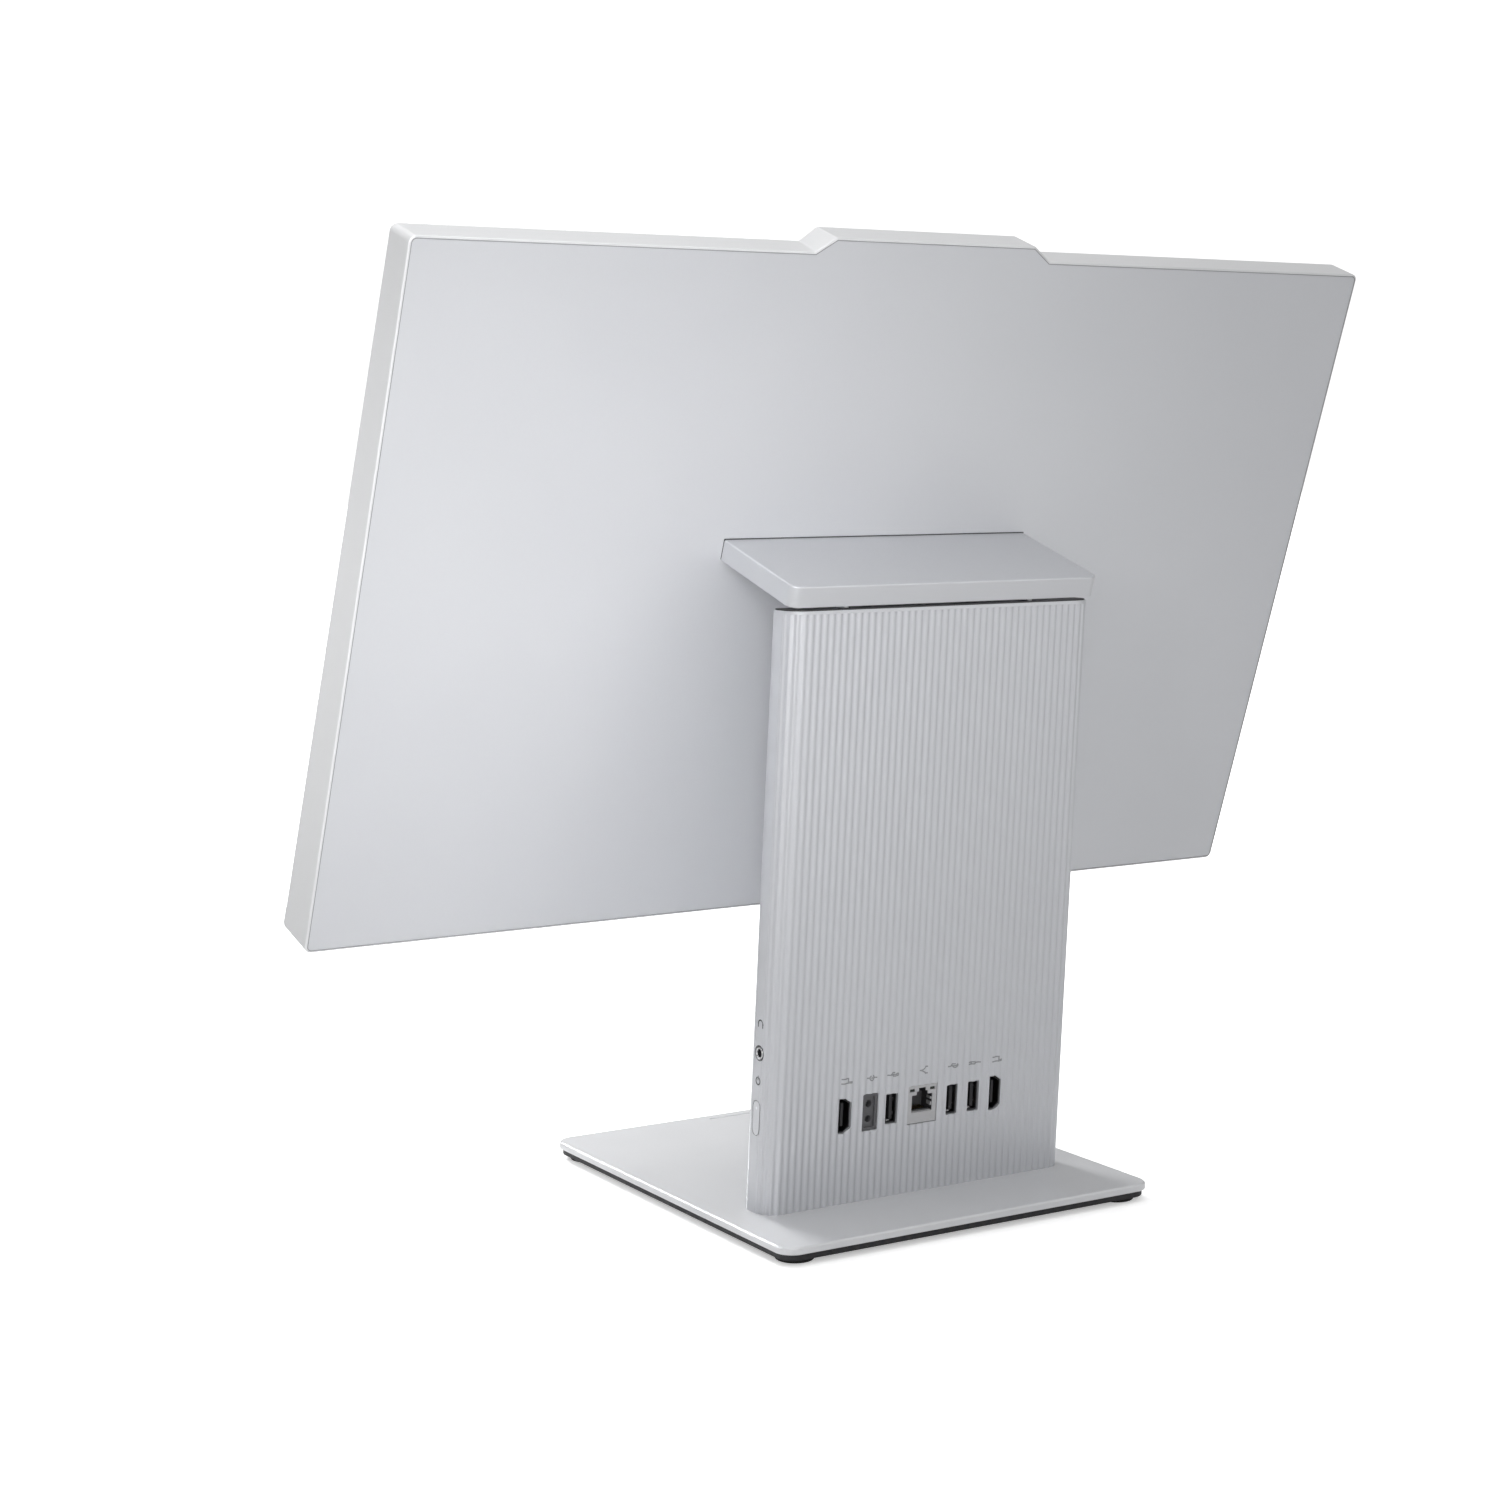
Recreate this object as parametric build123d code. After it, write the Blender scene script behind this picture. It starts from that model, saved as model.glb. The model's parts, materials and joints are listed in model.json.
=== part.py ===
from build123d import *
from math import cos, radians, sin
import os

# All-in-one computer with a 23.8 inch class display on a fluted column that holds the working parts.
# Millimetres. +Z up, the screen faces -Y, the column's ports face +Y.
# The origin is the centre of the base's footprint, on the surface that the feet stand on.

# Base
BASE_W = 209.6
BASE_D = 222.4
BASE_CORNER = 9.0
FOOT_H = 2.0
TRAY_H = 3.2
PLATE_H = 3.5
PLATE_TOP = FOOT_H + TRAY_H + PLATE_H
TRAY_INSET = 1.6
FOOT_R = 9.0
FOOT_INSET = 13.0
BASE_SCREW_X = 55.0
SCREW_HOLE_R = 2.1
SCREW_SINK_R = 4.2
SCREW_SINK_TOP = FOOT_H + 1.8
BASE_GROOVE = (32.0, 1.6, 0.5)
BASE_GROOVE_Y = -104.5

# Column, in its own frame: x across, y = 0 at the rear face and negative forwards, z up along its lean
COLUMN_W = 172.6
COLUMN_D = 21.0
COLUMN_LEAN = 5.0
COLUMN_Y = 64.7
COLUMN_H = 280.4
COLUMN_TOP = PLATE_TOP + COLUMN_H
REAR_CORNER = 9.5
FRONT_CORNER = 5.0
SKIN = 1.8
COVER_SPLIT = -16.0
RIM_H = 1.6
CAP_INSET = 0.7
CAP_PROUD = 0.6
FLUTE_DEPTH = 0.55
FLUTE_SINK = 0.05
FLUTES_FLAT = 41
FLUTES_CORNER = 4

# Display, in its own frame: x across, y = 0 at the rear face and negative forwards, z up along the panel
DISPLAY_W = 542.0
DISPLAY_H = 341.7
DISPLAY_TILT = 19.9
DISPLAY_Y = -37.6
DISPLAY_Z = PLATE_TOP + 123.4
DEPTH_TOP = 18.4
DEPTH_BOTTOM = 23.6
DISPLAY_CORNER = 3.5
HUMP_BASE_W = 135.6
HUMP_TOP_W = 114.6
HUMP_H = 7.2
KNEE_R = 2.0
FLARE = 1.1
EDGE_R = 0.9
FRAME_WALL = 1.1
COVER_GAP = 0.2
COVER_T = 2.0
CHIN_H = 11.3
CHIN_PROUD = 1.6
TAPER = (DEPTH_BOTTOM - DEPTH_TOP) / DISPLAY_H

# Hinge cover and hinges, in the display's frame
HOOD_W = 175.7
HOOD_D = 64.2
HOOD_LOW = 189.6
HOOD_H = 10.3
HOOD_SLOPE = 0.036
HOOD_CORNER = 5.0
HOOD_WALL = 1.6
HOOD_SEAM = 0.35
HINGE_Y = 52.0
HINGE_Z = 196.7
HINGE_X = 50.0
SHAFT_R = 1.8
EYE_R = 3.3
FIT = 0.05

# Ports, in the column's frame
PORT_Z = 42.4
PORT_FACE = -1.5
FLUSH_FACE = -0.75
SHELL_WALL = 0.35
BOARD_FACE = -14.0
BOARD_T = 1.6
NETWORK_X = 0.6
POWER_INLET_X = 30.7
VIDEO_X = (44.8, -42.3)
USB_X = (18.3, -16.6, -29.0)
USB_SIZE = (6.1, 14.0)
VIDEO_SIZE = (6.3, 16.2)
NETWORK_SIZE = (16.6, 18.2)
POWER_SIZE = (8.2, 17.2)
SHIELD_T = 0.5
PORT_GAP = 0.25

# Side controls, in the column's frame
JACK_Y = -12.0
JACK_Z = 74.1
JACK_R = 3.3
JACK_BORE_R = 1.8
BUTTON_Y = -12.3
BUTTON_Z = 43.4
BUTTON_H = 16.0
BUTTON_W = 5.4
LED_R = 0.7
LED_Z = 48.1

# Working parts inside the column
CHASSIS_Y = -18.9
CHASSIS_T = 0.9
BOARD_W = 156.0
BOARD_LOW = 14.0
BOARD_HIGH = 172.0
FIXING_X = 60.0
FIXING_Z = (20.0, 166.0)
FAN_X = -40.0
FAN_Z = 208.0
FAN_R = 26.0
FAN_HOUSING = 60.0
FAN_T = 9.0

parts = {}


def at_display(shape):
    """Moves a shape from the display's own frame to the model's frame."""
    return Pos(0, DISPLAY_Y, DISPLAY_Z) * Rot(-DISPLAY_TILT, 0, 0) * shape


def at_screen(shape):
    """Moves a shape from the screen's frame, where y = 0 is the front face, to the model's frame."""
    lean = Rot(-degrees_of(TAPER), 0, 0)
    return at_display(Pos(0, -DEPTH_BOTTOM, 0) * lean * shape)


def at_column(shape):
    """Moves a shape from the column's own frame to the model's frame."""
    return Pos(0, COLUMN_Y, PLATE_TOP) * Rot(-COLUMN_LEAN, 0, 0) * shape


def degrees_of(slope):
    """Angle of a small slope, in degrees."""
    return Vector(1, slope, 0).get_angle(Vector(1, 0, 0))


def block(x, y, z):
    """Box between the low and high limits given for each axis."""
    size = (x[1] - x[0], y[1] - y[0], z[1] - z[0])
    centre = (sum(x) / 2, sum(y) / 2, sum(z) / 2)
    return Pos(*centre) * Box(*size)


def rod_x(radius, x0, x1, y=0.0, z=0.0):
    """Cylinder along X between x0 and x1."""
    return Pos((x0 + x1) / 2, y, z) * Rot(0, 90, 0) * Cylinder(radius, x1 - x0)


def rod_y(radius, y0, y1, x=0.0, z=0.0):
    """Cylinder along Y between y0 and y1."""
    return Pos(x, (y0 + y1) / 2, z) * Rot(90, 0, 0) * Cylinder(radius, y1 - y0)


def rod_z(radius, z0, z1, x=0.0, y=0.0):
    """Cylinder along Z between z0 and z1."""
    return Pos(x, y, (z0 + z1) / 2) * Cylinder(radius, z1 - z0)


def slab(outline, rear, front):
    """Solid of an outline drawn across and up, from depth rear forwards to depth front."""
    return Pos(0, rear, 0) * extrude(Plane.XZ * outline, amount=rear - front)


def upright(outline, low, high):
    """Solid of an outline drawn in plan, from height low to height high."""
    return Pos(0, 0, low) * extrude(outline, amount=high - low)


# Base


def plan_plate(width, depth, corner, low, high):
    """Flat plate with rounded corners, centred on the origin in plan."""
    return upright(RectangleRounded(width, depth, corner), low, high)


def foot_places():
    """Plan positions of the four feet."""
    x = BASE_W / 2 - FOOT_INSET
    y = BASE_D / 2 - FOOT_INSET
    return [(sx * x, sy * y) for sx in (-1, 1) for sy in (-1, 1)]


def base_screw_places():
    """Plan positions of the screws that hold the column's foot to the base."""
    return [(side * BASE_SCREW_X, COLUMN_Y - COLUMN_D / 2) for side in (-1, 0, 1)]


def make_base():
    """Plate, tray, feet and the screws up into the column's foot."""
    plate = plan_plate(BASE_W, BASE_D, BASE_CORNER, PLATE_TOP - PLATE_H, PLATE_TOP)
    plate = chamfer(plate.edges().group_by(Axis.Z)[-1], 0.7)
    plate = fillet(plate.edges().group_by(Axis.Z)[0], 0.5)
    groove = Pos(0, BASE_GROOVE_Y, PLATE_TOP) * Box(BASE_GROOVE[0], BASE_GROOVE[1], 2 * BASE_GROOVE[2])
    plate -= groove
    side = 2 * TRAY_INSET
    tray = plan_plate(BASE_W - side, BASE_D - side, BASE_CORNER - TRAY_INSET, FOOT_H, FOOT_H + TRAY_H)
    tray = fillet(tray.edges().group_by(Axis.Z)[0], 0.9)
    feet = []
    for x, y in foot_places():
        foot = rod_z(FOOT_R, 0, FOOT_H, x, y)
        feet.append(chamfer(foot.edges().group_by(Axis.Z)[0], 0.4))
    screws = []
    for x, y in base_screw_places():
        plate -= rod_z(SCREW_HOLE_R, PLATE_TOP - PLATE_H - 1, PLATE_TOP + 1, x, y)
        tray -= rod_z(SCREW_HOLE_R, 0, PLATE_TOP, x, y)
        tray -= rod_z(SCREW_SINK_R, 0, SCREW_SINK_TOP, x, y)
        head = rod_z(SCREW_SINK_R - 0.4, FOOT_H + 0.3, SCREW_SINK_TOP, x, y)
        screws.append(head + rod_z(SCREW_HOLE_R - 0.2, SCREW_SINK_TOP, PLATE_TOP + 5.6, x, y))
    parts["base_plate"] = plate
    parts["base_tray"] = tray
    parts["base_feet"] = Compound(feet)
    parts["base_screws"] = Compound(screws)


# Column


def column_outline(inset):
    """Plan outline of the column without its flutes, pulled in by inset."""
    half = COLUMN_W / 2 - inset
    front = -COLUMN_D + inset
    face = make_face(Polyline((-half, -inset), (half, -inset), (half, front), (-half, front), close=True))
    rear = face.vertices().group_by(Axis.Y)[-1]
    face = fillet(rear, REAR_CORNER - inset)
    return fillet(face.vertices().group_by(Axis.Y)[0], FRONT_CORNER - inset)


def flute_base(step):
    """Point and outward direction on the fluted path, where step counts half flutes from its start."""
    corner_steps = 2 * FLUTES_CORNER
    flat_steps = 2 * FLUTES_FLAT
    radius = REAR_CORNER - FLUTE_SINK - FLUTE_DEPTH / 2
    centre_x = COLUMN_W / 2 - REAR_CORNER
    if step <= corner_steps:
        angle = radians(90.0 * step / corner_steps)
        way = Vector(cos(angle), sin(angle))
        return Vector(centre_x, -REAR_CORNER) + way * radius, way
    if step <= corner_steps + flat_steps:
        along = (step - corner_steps) / flat_steps
        return Vector(centre_x * (1 - 2 * along), -FLUTE_SINK - FLUTE_DEPTH / 2), Vector(0, 1)
    angle = radians(90.0 + 90.0 * (step - corner_steps - flat_steps) / corner_steps)
    way = Vector(cos(angle), sin(angle))
    return Vector(-centre_x, -REAR_CORNER) + way * radius, way


def fluted_section():
    """Plan section of the rear skin: flutes outside, a plain wall inside."""
    half = COLUMN_W / 2
    steps = 2 * (2 * FLUTES_CORNER + FLUTES_FLAT)
    edges = [Line((half, COVER_SPLIT), (half, -REAR_CORNER - 0.6))]
    edges.append(Line((half, -REAR_CORNER - 0.6), flute_base(0)[0]))
    for step in range(steps):
        start = flute_base(step)[0]
        end = flute_base(step + 1)[0]
        middle, way = flute_base(step + 0.5)
        swell = FLUTE_DEPTH / 2 if step % 2 == 0 else -FLUTE_DEPTH / 2
        edges.append(ThreePointArc(start, middle + way * swell, end))
    edges.append(Line(flute_base(steps)[0], (-half, -REAR_CORNER - 0.6)))
    edges.append(Line((-half, -REAR_CORNER - 0.6), (-half, COVER_SPLIT)))
    edges.append(Line((-half, COVER_SPLIT), (half, COVER_SPLIT)))
    return make_face(edges) - column_outline(SKIN)


def level_cut(shape, low, high):
    """Keeps what lies between two level heights."""
    return shape & block((-300, 300), (-300, 300), (low, high))


def port_opening(x, size, grow, depth=6.0):
    """Cutter for a rectangular port through the rear wall."""
    outline = Pos(x, PORT_Z) * RectangleRounded(size[0] + 2 * grow, size[1] + 2 * grow, 0.6)
    return slab(outline, 2.0, -depth)


def video_outline(x, grow):
    """Outline of a video port stood on end: one long side has cut corners."""
    half_w = VIDEO_SIZE[0] / 2 + grow
    half_h = VIDEO_SIZE[1] / 2 + grow
    cut = 2.4
    points = [(half_w, -half_h), (half_w, half_h), (0.1, half_h), (-half_w, half_h - cut)]
    points += [(-half_w, cut - half_h), (0.1, -half_h)]
    return Pos(x, PORT_Z) * make_face(Polyline(*points, close=True))


def button_outline(grow):
    """Pill outline of the power button, drawn across the depth and up."""
    return Pos(BUTTON_Y, BUTTON_Z) * Rot(0, 0, 90) * SlotOverall(BUTTON_H + 2 * grow, BUTTON_W + 2 * grow)


def side_prism(outline, inner, outer):
    """Solid of an outline drawn in depth and height, between two distances from the middle on the +X side."""
    return Pos(inner, 0, 0) * extrude(Plane.YZ * outline, amount=outer - inner)


def make_column_skins():
    """Fluted rear skin with its port openings, the front cover with its air slots, and the top cap."""
    skin = upright(fluted_section(), -6, COLUMN_H + 8)
    skin = level_cut(at_column(skin), PLATE_TOP, COLUMN_TOP)
    rim = upright(column_outline(0) - column_outline(SKIN), -6, COLUMN_H + 8)
    rim &= block((-120, 120), (COVER_SPLIT, 2), (-10, COLUMN_H + 10))
    skin += level_cut(at_column(rim), COLUMN_TOP - RIM_H, COLUMN_TOP)
    for x in USB_X:
        skin -= at_column(port_opening(x, USB_SIZE, PORT_GAP))
    for x in VIDEO_X:
        skin -= at_column(slab(video_outline(x, PORT_GAP), 2.0, -6.0))
    skin -= at_column(port_opening(NETWORK_X, NETWORK_SIZE, PORT_GAP))
    skin -= at_column(port_opening(POWER_INLET_X, POWER_SIZE, PORT_GAP))
    skin -= at_column(side_prism(button_outline(0.3), COLUMN_W / 2 - 6, COLUMN_W / 2 + 3))
    skin -= at_column(rod_x(JACK_R, COLUMN_W / 2 - 8, COLUMN_W / 2 + 3, JACK_Y, JACK_Z))
    parts["column_rear_skin"] = skin
    cover = upright(column_outline(0) - column_outline(SKIN), -6, COLUMN_H + 8)
    cover &= block((-120, 120), (-30, COVER_SPLIT - 0.15), (-10, COLUMN_H + 10))
    for row in range(5):
        for column in range(-7, 8):
            slot = Pos(column * 9.0, 40 + row * 7.0) * SlotOverall(6.4, 2.2)
            cover -= slab(slot, -17.0, -24.0)
    parts["column_front_cover"] = level_cut(at_column(cover), PLATE_TOP, COLUMN_TOP)
    plug = at_column(upright(column_outline(SKIN + 0.15), COLUMN_H - 12, COLUMN_H + 8))
    brim = at_column(upright(column_outline(CAP_INSET), COLUMN_H - 12, COLUMN_H + 8))
    cap = level_cut(plug, COLUMN_TOP - 2.4, COLUMN_TOP + 0.02)
    cap += level_cut(brim, COLUMN_TOP + 0.01, COLUMN_TOP + CAP_PROUD)
    for side in (-1, 1):
        cap -= Pos(side * (HINGE_X + 3.0), hinge_point().Y, COLUMN_TOP) * Box(5.0, 13.0, 12.0)
        for slot in range(9):
            cap -= Pos(side * (8.0 + slot * 4.0), hinge_point().Y, COLUMN_TOP) * Box(1.8, 10.0, 12.0)
    parts["column_cap"] = cap


def hinge_point():
    """The hinge axis in the model's frame."""
    return at_display(Pos(0, HINGE_Y, HINGE_Z)).position


def fixing_places():
    """Places of the main board's fixings, across and up the column."""
    return [(x, z) for x in (-FIXING_X, FIXING_X) for z in FIXING_Z]


def make_column_chassis():
    """Steel chassis sheet, its foot on the base, and the brackets that carry the hinge shafts."""
    chassis = block((-80, 80), (CHASSIS_Y, CHASSIS_Y + CHASSIS_T), (7.5, 272))
    for x, z in fixing_places():
        chassis -= rod_y(1.6, -22, -15, x, z)
    foot = Pos(0, COLUMN_Y - COLUMN_D / 2, PLATE_TOP + 3.2) * Box(150, 12.4, 6.4)
    for x, y in base_screw_places():
        foot -= rod_z(1.9, 0, PLATE_TOP + 5.7, x, y)
    parts["column_chassis"] = at_column(chassis)
    parts["column_foot"] = foot
    pivot = hinge_point()
    brackets = []
    for side in (-1, 1):
        inner = side * (HINGE_X + 1.7)
        outer = side * (HINGE_X + 4.3)
        x = (min(inner, outer), max(inner, outer))
        ear = block(x, (pivot.Y - EYE_R, pivot.Y + EYE_R), (COLUMN_TOP - 22, pivot.Z))
        ear += rod_x(EYE_R, x[0], x[1], pivot.Y, pivot.Z)
        centre = side * (HINGE_X + 3)
        ear += block((centre - 9, centre + 9), (pivot.Y - 5, pivot.Y - 2), (COLUMN_TOP - 30, COLUMN_TOP - 6))
        ear -= rod_x(SHAFT_R, centre - 6, centre + 6, pivot.Y, pivot.Z)
        brackets.append(ear)
    parts["hinge_brackets"] = Compound(brackets)


def make_hinge_shafts():
    """Fixed shafts and the friction washers beside each display arm."""
    pivot = hinge_point()
    shafts = []
    washers = []
    for side in (-1, 1):
        near = side * (HINGE_X - 6.0)
        far = side * (HINGE_X + 5.2)
        shafts.append(rod_x(SHAFT_R, min(near, far), max(near, far), pivot.Y, pivot.Z))
        for number in range(3):
            inner = side * (HINGE_X - 1.5 - 0.9 * number)
            outer = inner - side * 0.8
            ring = rod_x(3.0, min(inner, outer), max(inner, outer), pivot.Y, pivot.Z)
            washers.append(ring - rod_x(SHAFT_R + FIT, -100, 100, pivot.Y, pivot.Z))
    parts["hinge_shafts"] = Compound(shafts)
    parts["friction_washers"] = Compound(washers)


# Working parts in the column


def make_board():
    """Main board on standoffs, with processor, memory, drive and radio card."""
    board = block((-BOARD_W / 2, BOARD_W / 2), (BOARD_FACE - BOARD_T, BOARD_FACE), (BOARD_LOW, BOARD_HIGH))
    notch_x = (COLUMN_W / 2 - 17, COLUMN_W / 2)
    board -= block(notch_x, (BOARD_FACE - 3, BOARD_FACE + 1), (JACK_Z - 4, JACK_Z + 4))
    standoffs = []
    screws = []
    for x, z in fixing_places():
        board -= rod_y(1.6, -17, -12, x, z)
        post = rod_y(3.0, CHASSIS_Y + CHASSIS_T, BOARD_FACE - BOARD_T, x, z)
        standoffs.append(post - rod_y(1.2, -22, -12, x, z))
        head = rod_y(2.6, BOARD_FACE, BOARD_FACE + 1.6, x, z)
        screws.append(head + rod_y(1.2, CHASSIS_Y + 0.2, BOARD_FACE, x, z))
    parts["main_board"] = at_column(board)
    parts["board_standoffs"] = at_column(Compound(standoffs))
    parts["board_screws"] = at_column(Compound(screws))
    parts["processor"] = at_column(block((-18, 18), (BOARD_FACE, BOARD_FACE + 1.4), (128, 152)))
    face = BOARD_FACE + 0.05
    sockets = block((-9, 64), (face, face + 4.4), (66, 70)) + block((-9, -6.5), (face, face + 4.4), (70, 96))
    sockets += block((61.5, 64), (face, face + 4.4), (70, 96))
    parts["memory_socket"] = at_column(sockets)
    parts["memory_module"] = at_column(block((-6.2, 61.2), (face + 1.2, face + 3.6), (70.3, 100)))
    drive = block((-66, -44), (face + 1.0, face + 3.4), (70, 150))
    connector = block((-66, -44), (face, face + 4.2), (64, 69.8))
    parts["solid_state_drive"] = at_column(drive)
    parts["drive_connector"] = at_column(connector)
    parts["radio_card"] = at_column(block((-36, -14), (face + 1.0, face + 2.8), (74, 104)))


def make_cooling():
    """Copper plate, flat heat pipe, fin stack, blower housing and its rotor."""
    plate = block((-22, 22), (BOARD_FACE + 1.45, BOARD_FACE + 3.4), (120, 160))
    pipe = block((4, 12), (BOARD_FACE + 3.45, BOARD_FACE + 6.4), (122, 220))
    fins = block((14, 70), (-13.6, -12.8), (188, 222))
    for number in range(19):
        x = 14.5 + number * 3.0
        fins += block((x, x + 0.5), (-12.8, -4.2), (188, 222))
    fins += block((14, 70), (-4.2, -3.6), (188, 222))
    pipe += block((4, 13.9), (BOARD_FACE + 3.45, BOARD_FACE + 6.4), (198, 212))
    parts["cold_plate"] = at_column(plate)
    parts["heat_pipe"] = at_column(pipe)
    parts["fin_stack"] = at_column(fins)
    half = FAN_HOUSING / 2
    y = (-14.6, -14.6 + FAN_T)
    x = (FAN_X - half, FAN_X + half)
    z = (FAN_Z - half, FAN_Z + half)
    housing = block(x, y, z)
    housing -= rod_y(FAN_R + 1.5, y[0] + 1.0, y[1] - 1.0, FAN_X, FAN_Z)
    housing -= block((FAN_X, x[1] + 1), (y[0] + 1.0, y[1] - 1.0), (FAN_Z, FAN_Z + FAN_R + 1.5))
    housing -= rod_y(FAN_R - 8, y[0] - 1, y[0] + 2, FAN_X, FAN_Z)
    housing -= rod_y(FAN_R - 8, y[1] - 1.5, y[1] + 2, FAN_X, FAN_Z)
    housing += rod_y(8.0, y[0], y[0] + 0.9, FAN_X, FAN_Z)
    for number in range(3):
        spoke = Pos(FAN_R / 2 + 3, 0, 0) * Box(FAN_R - 4, 0.9, 3)
        housing += Pos(FAN_X, y[0] + 0.45, FAN_Z) * Rot(0, 120 * number + 30, 0) * spoke
    housing += rod_y(1.2, y[0], y[0] + 5.5, FAN_X, FAN_Z)
    rotor = rod_y(12.0, y[0] + 1.4, y[1] - 1.4, FAN_X, FAN_Z)
    rotor -= rod_y(1.25, y[0] - 1, y[0] + 5.7, FAN_X, FAN_Z)
    for number in range(21):
        blade = Pos(16.5, 0, 0) * Rot(0, 25, 0) * Box(17.0, FAN_T - 3.4, 0.7)
        rotor += Pos(FAN_X, (y[0] + y[1]) / 2, FAN_Z) * Rot(0, 360 / 21 * number, 0) * blade
    parts["fan_housing"] = at_column(housing)
    parts["fan_rotor"] = at_column(rotor)


def make_ports():
    """Rear connectors: each metal shell stands on the board and reaches through the rear skin."""
    parts["usb_shells"] = at_column(Compound([port_shell(x, USB_SIZE) for x in USB_X]))
    parts["usb_tongues"] = at_column(Compound([port_tongue(x - 0.9, 1.8, 11.4) for x in USB_X]))
    shells = []
    for x in VIDEO_X:
        outer = slab(video_outline(x, 0), PORT_FACE, BOARD_FACE)
        shells.append(outer - slab(video_outline(x, -SHELL_WALL), PORT_FACE + 1, BOARD_FACE + 1.0))
    parts["video_shells"] = at_column(Compound(shells))
    parts["video_tongues"] = at_column(Compound([port_tongue(x + 0.3, 1.4, 11.0) for x in VIDEO_X]))
    make_network_port()
    make_power_inlet()


def port_shell(x, size):
    """Open metal shell of a rectangular connector, closed at the board."""
    outer = slab(Pos(x, PORT_Z) * RectangleRounded(size[0], size[1], 0.5), PORT_FACE, BOARD_FACE)
    inner = Pos(x, PORT_Z) * RectangleRounded(size[0] - 2 * SHELL_WALL, size[1] - 2 * SHELL_WALL, 0.3)
    return outer - slab(inner, PORT_FACE + 1, BOARD_FACE + 1.0)


def port_tongue(x, thick, height):
    """Plastic tongue that stands inside a connector's shell."""
    tall = (PORT_Z - height / 2, PORT_Z + height / 2)
    return block((x - thick / 2, x + thick / 2), (BOARD_FACE + 1.0, PORT_FACE - 1.2), tall)


def network_mouth(rear, front):
    """Space for a network plug: a main opening with two narrower steps above it for the latch."""
    steps = ((5.9, -3.9, 4.5), (3.2, 4.4, 6.2), (2.0, 6.1, 7.8))
    mouth = [block((-half, half), (front, rear), (low, high)) for half, low, high in steps]
    return Pos(NETWORK_X, 0, PORT_Z) * (mouth[0] + mouth[1] + mouth[2])


def make_network_port():
    """Network jack: a metal shield with a flush front around a plastic body, and its contacts."""
    half_w = NETWORK_SIZE[0] / 2
    half_h = NETWORK_SIZE[1] / 2
    wide = (NETWORK_X - half_w + SHIELD_T, NETWORK_X + half_w - SHIELD_T)
    tall = (PORT_Z - half_h + SHIELD_T, PORT_Z + half_h - SHIELD_T)
    outline = Pos(NETWORK_X, PORT_Z) * RectangleRounded(2 * half_w, 2 * half_h, 0.4)
    shield = slab(outline, FLUSH_FACE, BOARD_FACE)
    shield -= block(wide, (BOARD_FACE - 1, FLUSH_FACE - SHIELD_T), tall)
    body = block(wide, (BOARD_FACE, FLUSH_FACE - SHIELD_T - 0.02), tall)
    mouth = network_mouth(1, BOARD_FACE + 1.2)
    lamps = [Pos(NETWORK_X + side * 5.8, 0, PORT_Z + 7.0) * Box(2.8, 3.0, 1.4) for side in (-1, 1)]
    contacts = []
    for number in range(8):
        x = NETWORK_X - 4.2 + number * 1.2
        contacts.append(block((x - 0.2, x + 0.2), (BOARD_FACE + 1.2, -5.5), (PORT_Z - 3.9, PORT_Z - 3.3)))
    parts["network_shield"] = at_column(shield - mouth - lamps[0] - lamps[1])
    parts["network_jack"] = at_column(body - mouth)
    parts["network_contacts"] = at_column(Compound(contacts))


def make_power_inlet():
    """Low-voltage power inlet: a flush body with a shallow recess and two socket holes with their pins."""
    outline = Pos(POWER_INLET_X, PORT_Z) * RectangleRounded(POWER_SIZE[0], POWER_SIZE[1], 0.5)
    recess = Pos(POWER_INLET_X, PORT_Z) * RectangleRounded(POWER_SIZE[0] - 2.4, POWER_SIZE[1] - 2.4, 0.5)
    body = slab(outline, FLUSH_FACE, BOARD_FACE) - slab(recess, 1, FLUSH_FACE - 1.0)
    pins = []
    for z in (PORT_Z - 3.6, PORT_Z + 3.6):
        body -= rod_y(1.7, BOARD_FACE + 4.0, 1, POWER_INLET_X, z)
        pins.append(rod_y(0.6, BOARD_FACE + 4.0, -3.5, POWER_INLET_X, z))
    parts["power_inlet"] = at_column(body)
    parts["power_inlet_pins"] = at_column(Compound(pins))


def make_side_controls():
    """Audio jack, power button with its switch and status light."""
    edge = COLUMN_W / 2
    outer = upright(column_outline(0.35), 0, COLUMN_H)
    inner = upright(column_outline(SKIN + 0.2), 0, COLUMN_H)
    jack = rod_x(JACK_R - 0.15, edge - 8, edge + 1, JACK_Y, JACK_Z) & outer
    body_depth = (JACK_Y - 3.4, JACK_Y + 3.4)
    jack += block((edge - 16, edge - 4), body_depth, (JACK_Z - 3.4, JACK_Z + 3.4)) & inner
    jack -= rod_x(JACK_BORE_R, edge - 13.5, edge + 2, JACK_Y, JACK_Z)
    parts["audio_jack"] = at_column(jack)
    face = upright(column_outline(0.0), 0, COLUMN_H)
    button = side_prism(button_outline(0), edge - 3.4, edge + 2) & face
    stem = rod_x(1.5, edge - 5.0, edge - 3.3, BUTTON_Y, BUTTON_Z - 2)
    light = rod_x(LED_R, edge - 3.0, edge + 2, BUTTON_Y, LED_Z) & face
    button -= rod_x(LED_R, edge - 8.0, edge + 2, BUTTON_Y, LED_Z)
    parts["power_button"] = at_column(button + stem)
    parts["status_light"] = at_column(light)
    switch = block((edge - 8.1, edge - 7.0), (BUTTON_Y - 3.2, BUTTON_Y + 4.0), (BUTTON_Z - 9, BUTTON_Z + 9))
    switch += rod_x(2.4, edge - 7.1, edge - 5.7, BUTTON_Y, BUTTON_Z - 2)
    parts["power_switch"] = at_column(switch)


# Display


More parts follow.
